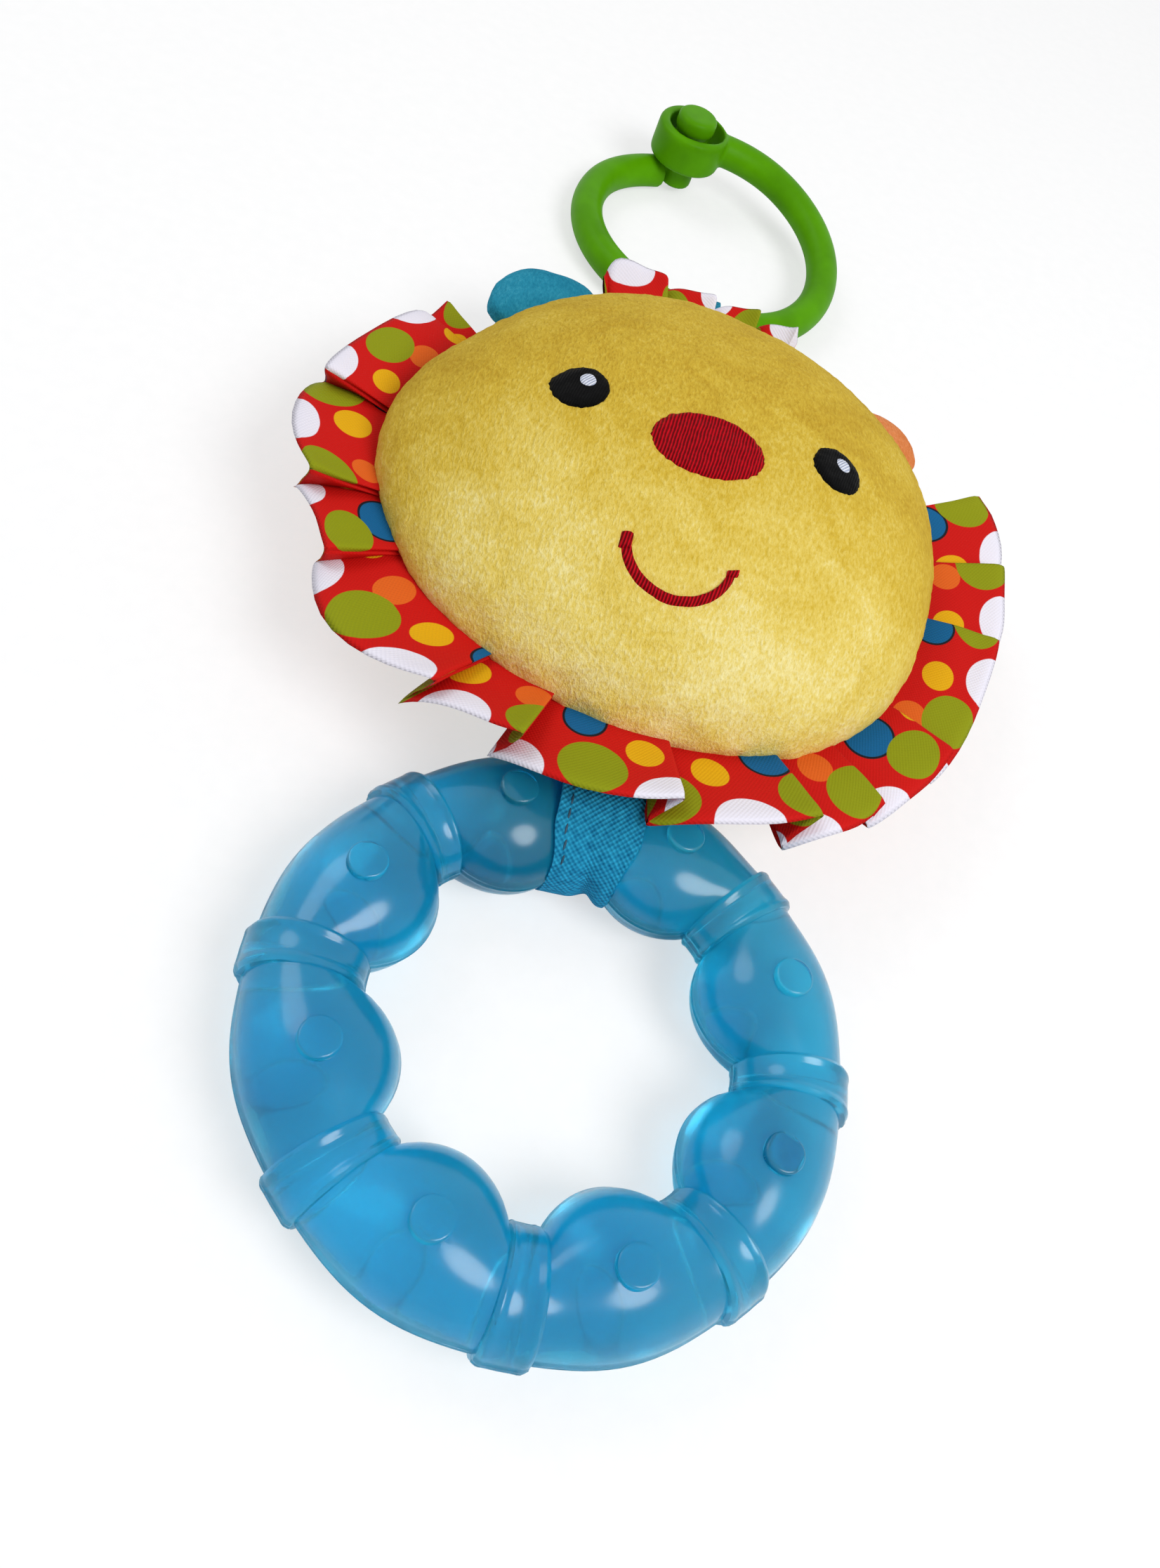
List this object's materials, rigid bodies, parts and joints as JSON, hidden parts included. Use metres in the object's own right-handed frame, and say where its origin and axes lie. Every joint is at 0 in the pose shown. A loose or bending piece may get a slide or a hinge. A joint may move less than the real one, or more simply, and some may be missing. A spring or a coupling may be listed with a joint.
{
  "type": "teething ring",
  "caption": "Plush animal-head teether with a gathered mane, a water-filled teething ring on a strap and a snap link for hanging.",
  "frame": {"origin": "middle of the footprint, on the surface the toy lies on", "axes": "+Y from the teething ring past the head to the snap link, +Z from the back of the head to the face, +X to the viewer's right of the face"},
  "size_m": [0.1312, 0.2672, 0.0436],
  "materials": {
    "plush_yellow": "short yellow plush pile",
    "plush_turquoise": "short turquoise plush pile",
    "plush_orange": "short orange plush pile",
    "printed_cotton": "plain-woven red cotton printed with dots",
    "strap_webbing": "turquoise woven cotton",
    "stuffing": "loose polyester fibre",
    "thread_black": "black satin stitching",
    "thread_red": "red satin stitching",
    "thread_white": "white satin stitching",
    "ring_plastic": "translucent turquoise, smooth",
    "water": "clear purified water",
    "link_plastic": "green, satin"
  },
  "bodies": {
    "head": {"face_panel": "plush_yellow", "head_back_panel": "plush_yellow", "head_stuffing": "stuffing", "left_eye_embroidery": "thread_black", "right_eye_embroidery": "thread_black", "left_eye_glint": "thread_white", "right_eye_glint": "thread_white", "nose_embroidery": "thread_red", "mouth_embroidery": "thread_red", "left_ear": "plush_turquoise", "right_ear": "plush_orange", "mane_ruffle": "printed_cotton", "crown_ruffle": "printed_cotton"},
    "strap": {"chin_strap": "strap_webbing"},
    "ring": {"ring_front_shell": "ring_plastic", "ring_back_shell": "ring_plastic", "ring_water": "water", "fill_plug": "ring_plastic"},
    "loop": {"hanging_loop": "strap_webbing"},
    "link_peg": {"link_peg_half": "link_plastic"},
    "link_eye": {"link_eye_half": "link_plastic"}
  },
  "joints": [
    {"name": "strap_flex", "type": "hinge", "parent": "head", "child": "strap", "pos_m": [-0.00396, -0.04523, 0.0162], "axis": [1, 0, 0], "range_deg": [-60, 60], "deforming": ["mane_ruffle"]},
    {"name": "ring_roll", "type": "hinge", "parent": "strap", "child": "ring", "pos_m": [-0.00396, -0.05893, 0.0094], "axis": [1, 0, 0], "range_deg": [-45, 45], "deforming": ["chin_strap"]},
    {"name": "loop_swing", "type": "hinge", "parent": "head", "child": "loop", "pos_m": [0.00224, 0.04777, 0.0162], "axis": [1, 0, 0], "range_deg": [-75, 80], "deforming": ["crown_ruffle"]},
    {"name": "link_turn", "type": "hinge", "parent": "loop", "child": "link_peg", "pos_m": [0.00224, 0.10116, 0.00418], "axis": [0, 0.0209, 0.9998], "range_deg": [-40, 90]},
    {"name": "link_open", "type": "hinge", "parent": "link_peg", "child": "link_eye", "pos_m": [0.00224, 0.07387, 0.00475], "axis": [1, 0, 0], "range_deg": [0, 20]}
  ]
}
